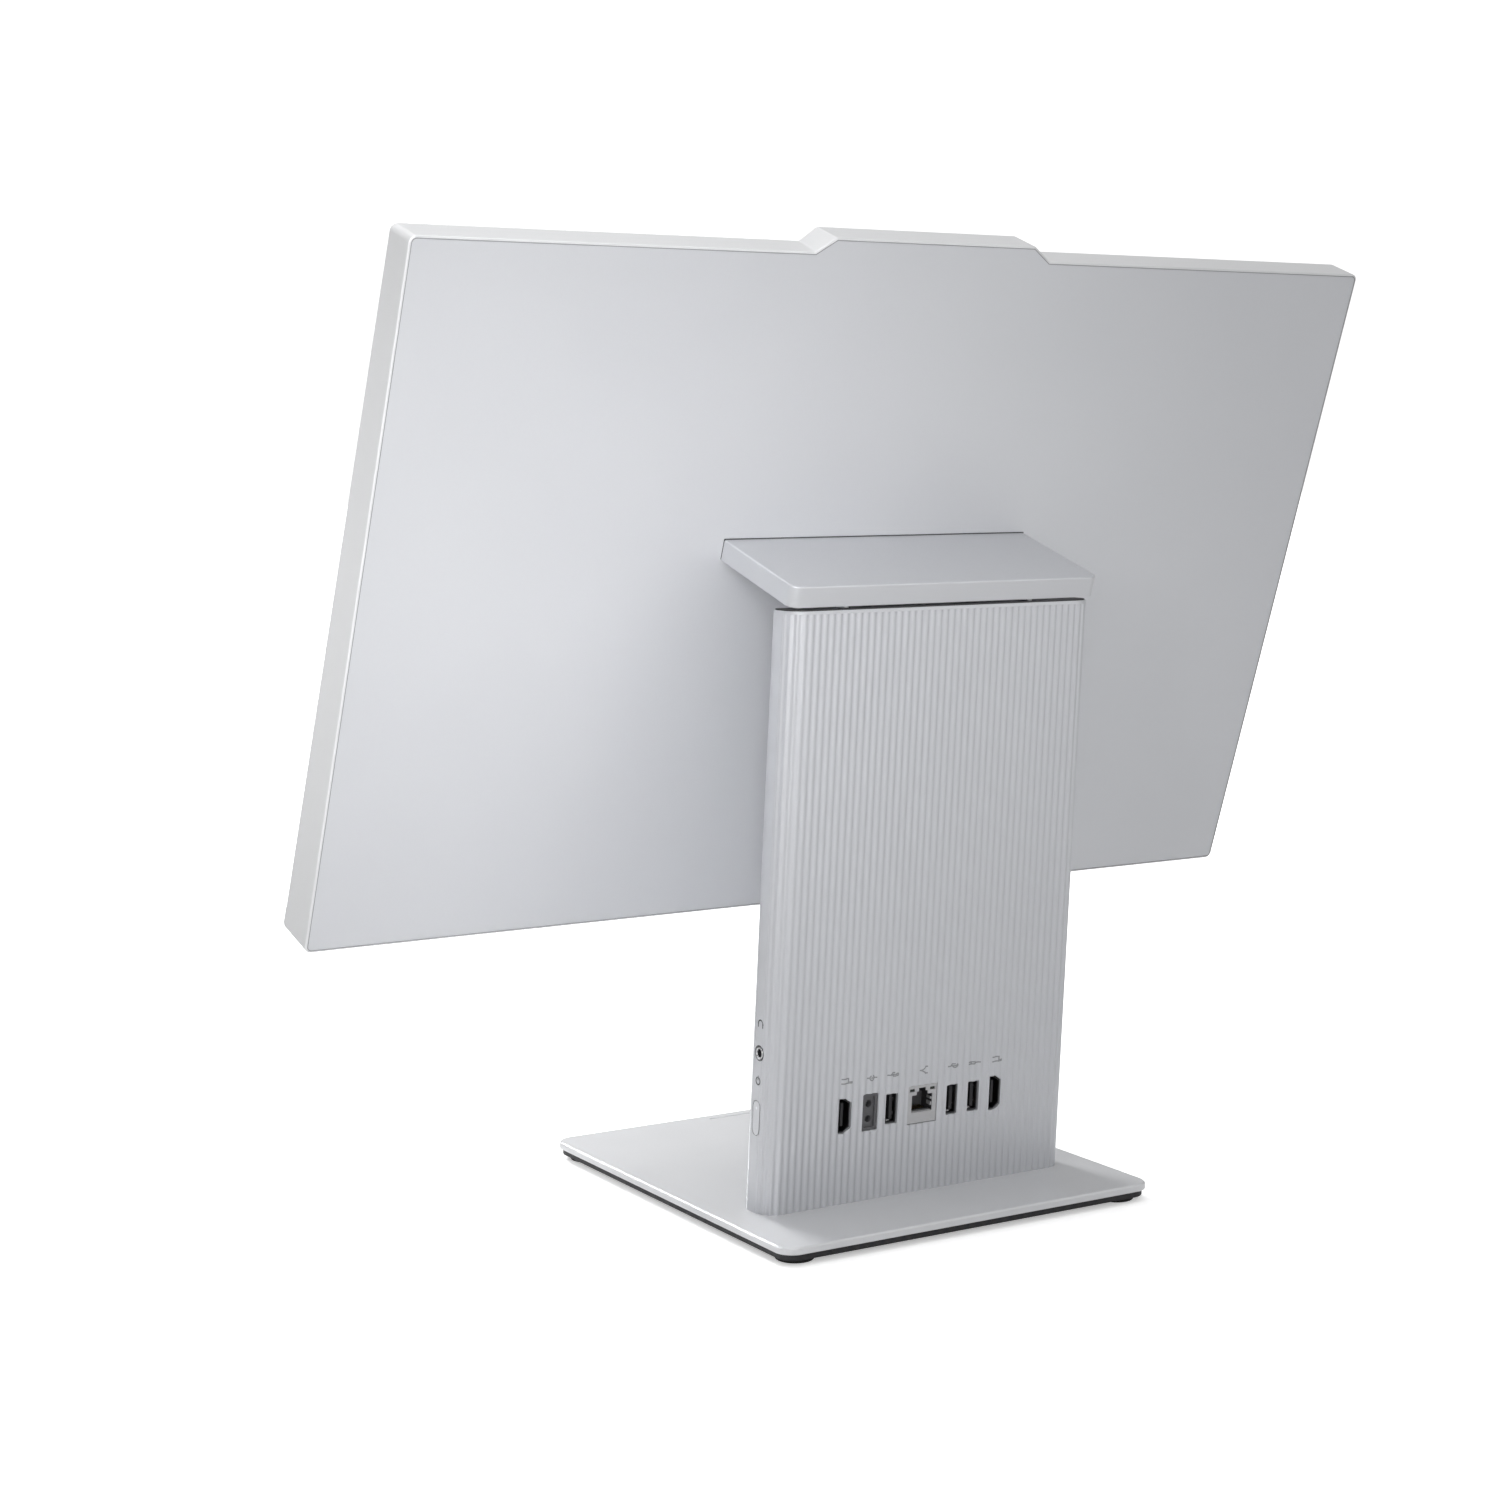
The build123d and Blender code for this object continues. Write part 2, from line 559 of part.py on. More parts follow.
def panel_outline(inset, flare=0.0):
    """Outline of the display seen from the front, with the camera hump, pulled in by inset.

    Towards the front the sides flare outwards and the hump's slopes stand steeper.
    """
    half = DISPLAY_W / 2 - inset + flare
    top = DISPLAY_H - inset
    low_half = HUMP_BASE_W / 2 - inset * 0.3 - flare * 1.5
    high_half = HUMP_TOP_W / 2 - inset * 0.3 + flare * 0.5
    points = [(-half, inset), (half, inset), (half, top), (low_half, top), (high_half, top + HUMP_H)]
    points += [(-high_half, top + HUMP_H), (-low_half, top), (-half, top)]
    face = make_face(Polyline(*points, close=True))
    corners = [v for v in face.vertices() if abs(v.X) > half - 1]
    face = fillet(corners, max(DISPLAY_CORNER - inset, 0.4))
    knees = [v for v in face.vertices() if abs(v.X) < HUMP_BASE_W / 2 + 1]
    return fillet(knees, KNEE_R)


def flared_panel(inset, rear, front):
    """Solid of the display's outline between two depths, with the flare of its sides."""
    outlines = []
    for depth in (rear, front):
        flare = -FLARE * depth / DEPTH_TOP
        outlines.append(Pos(0, depth, 0) * (Plane.XZ * panel_outline(inset, flare)))
    return loft(outlines, ruled=True)


def behind_front(shape):
    """Cuts away what stands in front of the tapered front plane."""
    cutter = Pos(0, -50, DISPLAY_H / 2) * Box(700, 100, 600)
    lean = Rot(-degrees_of(TAPER), 0, 0)
    return shape - Pos(0, -DEPTH_BOTTOM, 0) * lean * cutter


def make_display_shells():
    """Side frame, rear cover, chin and the strip in front of the camera."""
    frame = flared_panel(0, 0, -30)
    frame = fillet(frame.edges().filter_by(lambda e: e.center().Y > -0.01), EDGE_R)
    frame -= flared_panel(FRAME_WALL, 1, -31)
    lip = slab(panel_outline(FRAME_WALL - 0.1) - panel_outline(3.0), -3.0, -4.2)
    parts["side_frame"] = at_display(behind_front(frame + lip))
    cover = slab(panel_outline(FRAME_WALL + COVER_GAP), 0, -COVER_T)
    cover = chamfer(cover.edges().filter_by(lambda e: e.center().Y > -0.01), 0.2)
    cover += slab(panel_outline(3.2) - panel_outline(4.6), -COVER_T, -9.0)
    for side in (-1, 1):
        cover -= Pos(side * HINGE_X, -1, HOOD_LOW + 5.6) * Box(8.0, 6.0, 6.2)
    parts["rear_cover"] = at_display(cover)


def screen_slab(x, y, z):
    """Box in the screen's frame, moved to the model's frame."""
    return at_screen(block(x, y, z))


def make_screen():
    """Glass, liquid crystal cell, backlight and the steel carrier behind them, with chin and camera strip."""
    half = DISPLAY_W / 2 + FLARE - FRAME_WALL - 0.15
    top = DISPLAY_H - FRAME_WALL - 0.15
    glass = slab(Pos(0, (CHIN_H + 0.3 + top) / 2) * Rectangle(2 * half, top - CHIN_H - 0.3), 0.8, 0.0)
    corners = [e for e in glass.edges().filter_by(Axis.Y) if e.center().Z > top - 1]
    parts["screen_glass"] = at_screen(fillet(corners, DISPLAY_CORNER - FRAME_WALL))
    half -= 4.2
    parts["lcd_cell"] = screen_slab((-half, half), (0.9, 2.5), (CHIN_H + 2.0, top - 3.0))
    parts["backlight"] = screen_slab((-half, half), (2.6, 6.6), (CHIN_H + 2.0, top - 3.0))
    carrier = screen_slab((-half, half), (6.8, 7.8), (CHIN_H - 6.0, top - 3.0))
    parts["screen_carrier"] = carrier
    low_part = Pos(0, CHIN_H / 2) * Rectangle(2 * DISPLAY_W, CHIN_H)
    chin = slab(panel_outline(0, FLARE) & low_part, 0, -CHIN_PROUD)
    chin = chamfer(chin.edges().group_by(Axis.Y)[0], 0.5)
    chin += slab(panel_outline(FRAME_WALL + 0.25) & low_part, 2.4, -0.2)
    for side in (-1, 1):
        for number in range(24):
            x = side * (120 + number * 4.0)
            chin -= rod_y(0.7, -3, 4, x, CHIN_H / 2 + 1)
    parts["chin_strip"] = at_screen(chin)


def make_camera():
    """Camera strip in the hump with lens, board, microphones and a sliding shutter."""
    low = DISPLAY_H - FRAME_WALL
    inside = slab(panel_outline(FRAME_WALL + 0.25, FLARE), 20, -20)
    strip = block((-66, 66), (0, 1.2), (low, low + HUMP_H + 1)) & inside
    middle = low + HUMP_H / 2
    strip -= rod_y(2.6, -2, 4, 0, middle)
    strip -= block((8.6, 19.4), (-1, 0.5), (middle - 1.1, middle + 1.1))
    for x in (-30, 30):
        strip -= rod_y(0.5, -2, 4, x, middle)
    parts["camera_strip"] = at_screen(strip)
    parts["camera_lens"] = at_screen(rod_y(2.5, 0.3, 2.6, 0, middle))
    board = block((-34, 34), (2.65, 3.8), (low + 0.6, low + 5.6))
    parts["camera_board"] = at_screen(board)
    mics = [rod_y(1.4, 1.4, 2.6, x, middle) for x in (-30, 30)]
    parts["microphones"] = at_screen(Compound(mics))
    tab = block((9.0, 13.0), (-0.35, 0.42), (middle - 0.9, middle + 0.9))
    parts["camera_shutter"] = at_screen(tab)


def make_display_inside():
    """Display board, ribbon, speakers and the plate that the hinge arms are fixed to."""
    parts["display_board"] = at_display(block((-50, 60), (-11.5, -10.2), (40, 72)))
    ribbon = block((-20, 20), (-11.4, -11.1), (72.2, 120))
    parts["display_ribbon"] = at_display(ribbon)
    for side, name in ((1, "speaker_left"), (-1, "speaker_right")):
        x = sorted((side * 118, side * 214))
        box = block(x, (-14.6, -10.0), (16, 40))
        box += rod_y(9.0, -10.0, -9.2, side * 166, 28)
        parts[name] = at_display(box)
    plate = block((-75, 75), (-6.4, -4.4), (160, 236))
    for x in (-62, 62):
        for z in (170, 226):
            plate -= rod_y(2.0, -10, 0, x, z)
    parts["hinge_plate"] = at_display(plate)
    screws = []
    for x in (-62, 62):
        for z in (170, 226):
            screws.append(rod_y(3.4, -4.4, -2.8, x, z) + rod_y(1.9, -9.0, -4.4, x, z))
    parts["hinge_plate_screws"] = at_display(Compound(screws))


def make_hinge_arms():
    """Two flat arms from the hinge plate back to the shafts."""
    arms = []
    for side in (-1, 1):
        x = sorted((side * (HINGE_X - 1.3), side * (HINGE_X + 1.3)))
        arm = block(x, (-4.35, HINGE_Y), (HINGE_Z - 3.0, HINGE_Z + 1.2))
        arm += rod_x(EYE_R, x[0], x[1], HINGE_Y, HINGE_Z)
        arm -= rod_x(SHAFT_R + FIT, -100, 100, HINGE_Y, HINGE_Z)
        arms.append(arm)
    parts["hinge_arms"] = at_display(Compound(arms))


def hood_profile(inset):
    """Side outline of the hinge cover in depth and height, pulled in by inset except against the display."""
    rear = HOOD_D - inset
    low = HOOD_LOW + inset
    high = HOOD_LOW + HOOD_H - inset
    rise = rear * HOOD_SLOPE
    near = HOOD_SEAM
    return make_face(Polyline((near, low), (rear, low + rise), (rear, high + rise), (near, high), close=True))


def hood_column(inset):
    """Tall solid on the hinge cover's plan, with its rounded rear corners, pulled in by inset."""
    plan = Rectangle(HOOD_W - 2 * inset, 2 * (HOOD_D - inset))
    plan = fillet(plan.vertices().group_by(Axis.Y)[-1], HOOD_CORNER - inset)
    return upright(plan, HOOD_LOW - 20, HOOD_LOW + 40)


def hood_solid(inset):
    """Solid of the hinge cover, pulled in by inset."""
    body = Pos(-HOOD_W / 2, 0, 0) * extrude(Plane.YZ * hood_profile(inset), amount=HOOD_W)
    return body & hood_column(inset)


def make_hood():
    """Hinge cover: an upper hood and a lower lid, with slots where the brackets come up."""
    outer = hood_solid(0)
    top_edges = [e for e in outer.edges() if e.center().Z > HOOD_LOW + HOOD_H - 1 and e.center().Y > 1]
    outer = fillet(top_edges, 0.8)
    split = Pos(0, 0, HOOD_LOW + HOOD_WALL + 0.1) * Rot(degrees_of(HOOD_SLOPE), 0, 0)
    below = split * Pos(0, 50, -10) * Box(300, 200, 20)
    hood = outer - hood_solid(HOOD_WALL) - (below & hood_column(HOOD_WALL))
    lid = outer & Pos(0, 0, -0.15) * below & hood_column(HOOD_WALL + 0.2)
    for side in (-1, 1):
        lid -= Pos(side * (HINGE_X + 3.0), HINGE_Y, HOOD_LOW) * Box(5.4, 19.0, 20.0)
    parts["hinge_hood"] = at_display(hood)
    parts["hinge_hood_lid"] = at_display(lid)


make_base()
make_column_skins()
make_column_chassis()
make_hinge_shafts()
make_board()
make_cooling()
make_ports()
make_side_controls()
make_display_shells()
make_screen()
make_camera()
make_display_inside()
make_hinge_arms()
make_hood()

os.makedirs("parts", exist_ok=True)
for name, shape in parts.items():
    export_step(shape, "parts/%s.step" % name)
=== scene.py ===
import bmesh
import bpy
import json
from math import atan2, ceil, cos, pi, radians, sin
from mathutils import Matrix, Vector


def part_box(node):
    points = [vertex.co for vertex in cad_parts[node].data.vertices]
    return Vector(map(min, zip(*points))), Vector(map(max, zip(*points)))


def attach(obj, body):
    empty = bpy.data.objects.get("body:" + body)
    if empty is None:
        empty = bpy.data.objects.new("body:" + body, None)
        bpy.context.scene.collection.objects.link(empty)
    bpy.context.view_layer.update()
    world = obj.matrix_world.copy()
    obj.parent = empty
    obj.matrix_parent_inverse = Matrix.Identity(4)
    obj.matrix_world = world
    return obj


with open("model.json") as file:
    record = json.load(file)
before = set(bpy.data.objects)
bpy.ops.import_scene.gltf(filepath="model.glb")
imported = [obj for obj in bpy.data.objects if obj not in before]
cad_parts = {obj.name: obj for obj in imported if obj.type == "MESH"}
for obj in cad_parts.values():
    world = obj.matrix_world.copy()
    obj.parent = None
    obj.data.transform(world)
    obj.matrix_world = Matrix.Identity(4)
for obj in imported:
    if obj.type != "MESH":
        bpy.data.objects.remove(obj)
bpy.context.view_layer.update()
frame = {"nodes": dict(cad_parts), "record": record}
nodes = frame["nodes"]

MM = 0.001

# The column's own frame: x across, y = 0 at the rear face, z up along its lean.
PLATE_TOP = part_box("base_plate")[1].z
COLUMN_LEAN = radians(5.0)
COLUMN_REAR = 0.0647
COLUMN = Matrix.Translation((0, COLUMN_REAR, PLATE_TOP)) @ Matrix.Rotation(-COLUMN_LEAN, 4, "X")

# The display's own frame: y = 0 at the rear cover and growing rearwards, z up along it from the lower edge.
DISPLAY_TILT = radians(19.9)
DISPLAY_REAR = -0.0376
DISPLAY_LIFT = 0.1234
DISPLAY_FOOT = (0, DISPLAY_REAR, PLATE_TOP + DISPLAY_LIFT)
DISPLAY_HINGE = Matrix.Translation(DISPLAY_FOOT) @ Matrix.Rotation(-DISPLAY_TILT, 4, "X")

# The screen's own frame: as the display's, but y = 0 at the glass and z along it.
# The display is thinner at its top, so the two frames are at a small angle.
DISPLAY_HEIGHT = 341.7
DEPTH_LOW = 23.6
DEPTH_HIGH = 18.4
DISPLAY_TAPER = atan2(DEPTH_LOW - DEPTH_HIGH, DISPLAY_HEIGHT)
SCREEN = DISPLAY_HINGE @ Matrix.Translation((0, -DEPTH_LOW * MM, 0)) @ Matrix.Rotation(-DISPLAY_TAPER, 4, "X")

# The sizes from here on are in millimetres, in the frame of the column, the display or the screen.
PICTURE_HALF = 263.7
PICTURE_LOW = 16.5
PICTURE_HIGH = 335.5

# Rear ports, from the user's right to left
PORT_Z = 42.4
USB_X = (18.3, -16.6, -29.0)
VIDEO_X = (44.8, -42.3)
NETWORK_X = 0.6
POWER_INLET_X = 30.7

# Headset socket and power button on the column's side
SIDE_X = 86.3
SIDE_Y = -12.0
JACK_Z = 74.1
# radius of the painted shade line around the socket
JACK_SHADE_LINE = 3.5
BUTTON_Y = -12.3
BUTTON_Z = 43.4
BUTTON_H = 16.0
BUTTON_W = 5.4
BUTTON_GAP = 0.2

# Printed symbols and dark lines of painted shade around the button and the socket: their heights, the widths
# of their strokes, and how the strokes are laid on the skin
ICON_Z = 58.8
HEADSET_Z = 87.7
SWITCH_Z = 61.0
ICON_STROKE = 0.65
HEADSET_STROKE = 0.6
SWITCH_STROKE = 0.55
SHADE_LINE_STROKE = 0.3
STROKE_CUT = 0.4
LAYER_START = 1.0
LAYER_GAP = 0.03
LAYER_THICKNESS = 0.04

# Springs and contacts in the USB and video ports: x and z from the port's centre, y from the rear face
USB_SPRING_X = (-2.75, -2.0)
USB_SPRING_Y = (-6.4, -3.6)
USB_SPRING_Z = 3.4
USB_SPRING_HALF = 0.9
USB_END_SPRING_Y = (-6.0, -3.4)
USB_END_SPRING_Z = 6.45
USB_END_SPRING_HALF = 0.2
USB_CONTACT_X = (-1.92, -1.78)
USB_CONTACT_Y = (-9.5, -3.2)
USB_CONTACT_SPAN = 7.0
USB_CONTACT_HALF = 0.5
USB_CONTACTS = 4
VIDEO_CONTACT_X = (-0.48, -0.38)
VIDEO_CONTACT_Y = (-9.0, -3.2)
VIDEO_CONTACT_LOW = -4.5
VIDEO_CONTACT_HALF = 0.22
VIDEO_CONTACTS = 10

# Network jack, measured in the same way: two side tabs, a spring along its lower edge, two lamp windows above
TAB_X = (-5.95, -5.1)
TAB_Y = (-4.5, -1.2)
TAB_HEIGHTS = ((-1.6, 0.2), (1.4, 2.6))
LOWER_SPRING_HALF = 5.8
LOWER_SPRING_Y = (-3.6, -1.4)
LOWER_SPRING_Z = (-3.95, -3.55)
LAMP_X = 5.8
LAMP_HALF = 1.3
LAMP_Y = (-1.9, -1.15)
LAMP_Z = (6.4, 7.6)

# Painted shade: a dark strip in the seam around the hinge cover
HOOD_SHADE_Y = (0.03, 0.33)
HOOD_SHADE_INNER = 87.5
HOOD_SHADE_OUTER = 88.05
HOOD_SHADE_HALF = 87.7
HOOD_SHADE_LOW = 189.9
HOOD_SHADE_TOP = (199.6, 200.3)

# Rear cover's outline, with the hump over the camera
COVER_X = 269.8
COVER_LOW = 1.2
COVER_HIGH = 340.5
COVER_CORNER = 2.3
CORNER_STEPS = 5
HUMP_FOOT = 67.4
HUMP_TOP = 56.9
HUMP_RISE = 7.2
SEAM_WIDTH = 0.36
SEAM_THICKNESS = 0.05
SEAM_Y = 0.03
SEAM_CUT = 40.0

# Rings: profiles of (distance along the axis, radius)
RING_STEPS = 48
JACK_RIM_INSET = 0.1
JACK_RIM = ((-0.5, 1.95), (-0.5, 2.85), (0.12, 2.85), (0.28, 2.7), (0.28, 2.3), (0.1, 2.0))
LENS_Z = 344.2
LENS_RING_Y = 0.3
LENS_RING = ((-0.3, 2.05), (-0.3, 2.5), (0.02, 2.5), (0.1, 2.4), (0.02, 2.1))

# Camera: level, behind the object and to the user's right, with its frame shifted down
CAMERA_AT = (0.7455, 1.1254, 0.3693)
CAMERA_AZIMUTH = radians(31.53)
LENS_MM = 65.088
SENSOR_MM = 36.0
SHIFT_Y = -0.21
CLIP_END = 50.0

# Backdrop and floor, in metres. The camera sees the backdrop at the strength BACKDROP.
# To the camera the floor gets whiter with its distance from the origin, between two radii.
BACKDROP = 1.1
FLOOR_HALF = 12.0
WHITENED_FROM = 0.14
WHITENED_FULLY = 0.42
LIT_POINT = (0, 0, 0.25)


# Materials


def new_material(name):
    """Material with an empty node tree apart from its output and shader."""
    material = bpy.data.materials.new(name)
    material.use_nodes = True
    tree = material.node_tree
    tree.nodes.clear()
    out = tree.nodes.new("ShaderNodeOutputMaterial")
    shader = tree.nodes.new("ShaderNodeBsdfPrincipled")
    tree.links.new(shader.outputs["BSDF"], out.inputs["Surface"])
    return material, tree, shader


def noise_node(tree, scale, detail):
    """Noise in object space."""
    place = tree.nodes.new("ShaderNodeTexCoord")
    noise = tree.nodes.new("ShaderNodeTexNoise")
    noise.inputs["Scale"].default_value = scale
    noise.inputs["Detail"].default_value = detail
    tree.links.new(place.outputs["Object"], noise.inputs["Vector"])
    return noise


def ramp_node(tree, source, low, high, start=0.3, end=0.7):
    """Colour ramp between two colours or two greys."""
    ramp = tree.nodes.new("ShaderNodeValToRGB")
    ramp.color_ramp.elements[0].position = start
    ramp.color_ramp.elements[1].position = end
    ramp.color_ramp.elements[0].color = (*low, 1)
    ramp.color_ramp.elements[1].color = (*high, 1)
    tree.links.new(source, ramp.inputs["Fac"])
    return ramp


def math_node(tree, operation, first, second):
    """Sum, product and the like of two sockets or numbers."""
    node = tree.nodes.new("ShaderNodeMath")
    node.operation = operation
    for socket, value in zip(node.inputs, (first, second)):
        if isinstance(value, (int, float)):
            socket.default_value = value
        else:
            tree.links.new(value, socket)
    return node.outputs["Value"]


def grained(name, color, rough, metal, grain, depth, spread=0.03):
    """Surface with a fine grain in its height, a faint drift in its colour and an uneven gloss.

    grain is per metre, depth is in metres, and spread is how far the colour drifts to either side.
    """
    material, tree, shader = new_material(name)
    shader.inputs["Metallic"].default_value = metal
    fine = noise_node(tree, scale=grain, detail=3.0)
    broad = noise_node(tree, scale=9.0, detail=2.0)
    dark = tuple(max(c - spread, 0) for c in color)
    light = tuple(min(c + spread, 1) for c in color)
    tint = ramp_node(tree, broad.outputs["Fac"], dark, light)
    tree.links.new(tint.outputs["Color"], shader.inputs["Base Color"])
    uneven = 0.05
    gloss = ramp_node(tree, fine.outputs["Fac"], (rough - uneven,) * 3, (rough + uneven,) * 3)
    tree.links.new(gloss.outputs["Color"], shader.inputs["Roughness"])
    bump = tree.nodes.new("ShaderNodeBump")
    bump.inputs["Strength"].default_value = 0.5
    bump.inputs["Distance"].default_value = depth
    tree.links.new(fine.outputs["Fac"], bump.inputs["Height"])
    tree.links.new(bump.outputs["Normal"], shader.inputs["Normal"])
    return material


def glassy(name, color, rough, coat=0.0):
    """Dark polished surface with faint smears in its gloss."""
    material, tree, shader = new_material(name)
    smears = noise_node(tree, scale=14.0, detail=4.0)
    smeared = rough + 0.04
    lighter = tuple(c * 1.3 for c in color)
    gloss = ramp_node(tree, smears.outputs["Fac"], (rough,) * 3, (smeared,) * 3)
    tint = ramp_node(tree, smears.outputs["Fac"], color, lighter)
    tree.links.new(gloss.outputs["Color"], shader.inputs["Roughness"])
    tree.links.new(tint.outputs["Color"], shader.inputs["Base Color"])
    shader.inputs["Coat Weight"].default_value = coat
    return material


def screen_material(name, half_width, low, high):
    """Black glass whose picture area, switched off, is a little lighter than its border."""
    material = glassy(name, (0.004, 0.004, 0.005), 0.06, 0.5)
    tree = material.node_tree
    place = tree.nodes.new("ShaderNodeTexCoord")
    split = tree.nodes.new("ShaderNodeSeparateXYZ")
    tree.links.new(place.outputs["Object"], split.inputs["Vector"])
    across = math_node(tree, "LESS_THAN", math_node(tree, "ABSOLUTE", split.outputs["X"], 0.0), half_width)
    above = math_node(tree, "GREATER_THAN", split.outputs["Z"], low)
    below = math_node(tree, "LESS_THAN", split.outputs["Z"], high)
    inside = math_node(tree, "MULTIPLY", across, math_node(tree, "MULTIPLY", above, below))
    border = (0.003, 0.003, 0.0035)
    picture = (0.014, 0.015, 0.018)
    tint = ramp_node(tree, inside, border, picture, start=0.0, end=1.0)
    tree.links.new(tint.outputs["Color"], tree.nodes["Principled BSDF"].inputs["Base Color"])
    return material


SCREEN_LOW = (SCREEN @ Vector((0, 0, PICTURE_LOW * MM))).z
SCREEN_HIGH = (SCREEN @ Vector((0, 0, PICTURE_HIGH * MM))).z
SILVER = (0.60, 0.609, 0.634)
# Colour, roughness, metal, grain per metre, depth of the grain in metres and, for some, drift of the colour
GRAINED_LOOKS = {
    "base_aluminium": ((0.69, 0.697, 0.712), 0.42, 0.4, 1400, 0.00002),
    "black_plastic": ((0.022, 0.022, 0.024), 0.55, 0, 1200, 0.00003, 0.004),
    "coated_steel": ((0.012, 0.012, 0.014), 0.5, 0, 1500, 0.00002, 0.002),
    "foot_rubber": ((0.02, 0.02, 0.02), 0.8, 0, 700, 0.00004, 0.004),
    "zinc_steel": ((0.6, 0.6, 0.62), 0.3, 1.0, 800, 0.00001),
    "column_skin": ((0.575, 0.584, 0.61), 0.33, 0.55, 1600, 0.000005, 0.01),
    "dark_plastic": ((0.035, 0.035, 0.038), 0.5, 0, 1200, 0.00002, 0.005),
    "sheet_steel": ((0.55, 0.56, 0.58), 0.35, 1.0, 300, 0.00001, 0.05),
    "circuit_board": ((0.01, 0.09, 0.04), 0.35, 0, 500, 0.00002, 0.01),
    "brass_parts": ((0.7, 0.52, 0.22), 0.3, 1.0, 700, 0.00001),
    "chip": ((0.03, 0.03, 0.035), 0.45, 0, 900, 0.00001, 0.005),
    "copper_parts": ((0.75, 0.36, 0.2), 0.3, 1.0, 500, 0.00001),
    "fin_aluminium": ((0.75, 0.76, 0.77), 0.32, 1.0, 500, 0.00001),
    "port_steel": ((0.62, 0.62, 0.63), 0.28, 1.0, 900, 0.00001),
    "shield_steel": ((0.5, 0.5, 0.51), 0.42, 0.8, 900, 0.00001),
    "hood_plastic": ((0.565, 0.573, 0.596), 0.33, 0.5, 1600, 0.000002, 0.008),
    "dark_gold": ((0.22, 0.17, 0.09), 0.35, 1.0, 900, 0.000005),
    # the dark print also paints the shade lines around the side button and socket
    "dark_print_and_shade_lines": ((0.1, 0.1, 0.105), 0.6, 0, 900, 0.000005, 0.01),
    "shell_steel": ((0.09, 0.09, 0.095), 0.35, 1.0, 900, 0.00001, 0.01),
    "gold_contacts": ((0.85, 0.62, 0.2), 0.22, 1.0, 900, 0.000005),
    "grey_plastic": ((0.085, 0.085, 0.09), 0.45, 0, 900, 0.00002, 0.01),
    "button_plastic": (SILVER, 0.36, 0.5, 1600, 0.00001, 0.01),
    "light_lens": ((0.85, 0.87, 0.9), 0.2, 0, 900, 0.000005, 0.01),
    "frame_plastic": ((0.67, 0.675, 0.685), 0.45, 0.3, 1600, 0.00001, 0.01),
    "cover_plastic": (SILVER, 0.54, 0.35, 1600, 0.000015, 0.008),
    # the grey print also paints the shadow line in the rear cover's seam
    "grey_print_and_seam_shade": ((0.27, 0.275, 0.285), 0.6, 0, 900, 0.000005, 0.01),
}
MATERIALS = {name: grained(name, *look) for name, look in GRAINED_LOOKS.items()}
MATERIALS["screen_glass"] = screen_material("screen_glass", PICTURE_HALF * MM, SCREEN_LOW, SCREEN_HIGH)
MATERIALS["lcd_layers"] = glassy("lcd_layers", (0.01, 0.01, 0.012), 0.2)
MATERIALS["lamp_window"] = glassy("lamp_window", (0.02, 0.025, 0.02), 0.15)
MATERIALS["lens_glass"] = glassy("lens_glass", (0.004, 0.004, 0.012), 0.04, 1.0)

# Nodes that look unlike the rest of their slot
SPECIAL_LOOKS = {
    "usb_shells": "shell_steel",
    "video_shells": "shell_steel",
    "network_shield": "shield_steel",
    "network_contacts": "dark_gold",
    "hinge_hood": "hood_plastic",
}


def paint_nodes():
    """Every CAD node takes the material of its slot in the record, apart from the few that look different."""
    for row in frame["record"]["subparts"]:
        mesh = nodes[row["node"]].data
        mesh.materials.clear()
        look = SPECIAL_LOOKS.get(row["node"], row["material_slot"])
        mesh.materials.append(MATERIALS[look])


# Camera, lights and floor


def make_camera():
    """Level camera with its frame shifted down, so that upright edges stay parallel."""
    data = bpy.data.cameras.new("camera")
    data.sensor_width = SENSOR_MM
    data.lens = LENS_MM
    data.shift_y = SHIFT_Y
    data.clip_end = CLIP_END
    camera = bpy.data.objects.new("camera", data)
    camera.location = CAMERA_AT
    camera.rotation_euler = (pi / 2, 0, pi - CAMERA_AZIMUTH)
    bpy.context.scene.collection.objects.link(camera)
    bpy.context.scene.camera = camera


def area_light(name, at, aim, size, power, spread=180.0):
    """Square area light that faces a point; a small spread in degrees makes it a soft spotlight."""
    data = bpy.data.lights.new(name, "AREA")
    data.size = size
    data.energy = power
    data.spread = radians(spread)
    light = bpy.data.objects.new(name, data)
    light.location = at
    light.rotation_euler = (Vector(aim) - Vector(at)).to_track_quat("-Z", "Y").to_euler()
    bpy.context.scene.collection.objects.link(light)


def camera_ray(tree):
    """Value that is 1 for rays that come straight from the camera and 0 for all others."""
    return tree.nodes.new("ShaderNodeLightPath").outputs["Is Camera Ray"]


def make_world(low, rise):
    """Backdrop that is white to the camera and lights the object softly, mostly from above."""
    world = bpy.data.worlds.new("studio")
    world.use_nodes = True
    tree = world.node_tree
    place = tree.nodes.new("ShaderNodeTexCoord")
    split = tree.nodes.new("ShaderNodeSeparateXYZ")
    tree.links.new(place.outputs["Generated"], split.inputs["Vector"])
    height = math_node(tree, "MAXIMUM", split.outputs["Z"], 0.0)
    light = math_node(tree, "ADD", math_node(tree, "MULTIPLY", height, rise), low)
    strength = math_node(tree, "MAXIMUM", light, math_node(tree, "MULTIPLY", camera_ray(tree), BACKDROP))
    tree.links.new(strength, tree.nodes["Background"].inputs["Strength"])
    tree.nodes["Background"].inputs["Color"].default_value = (1, 1, 1, 1)
    bpy.context.scene.world = world


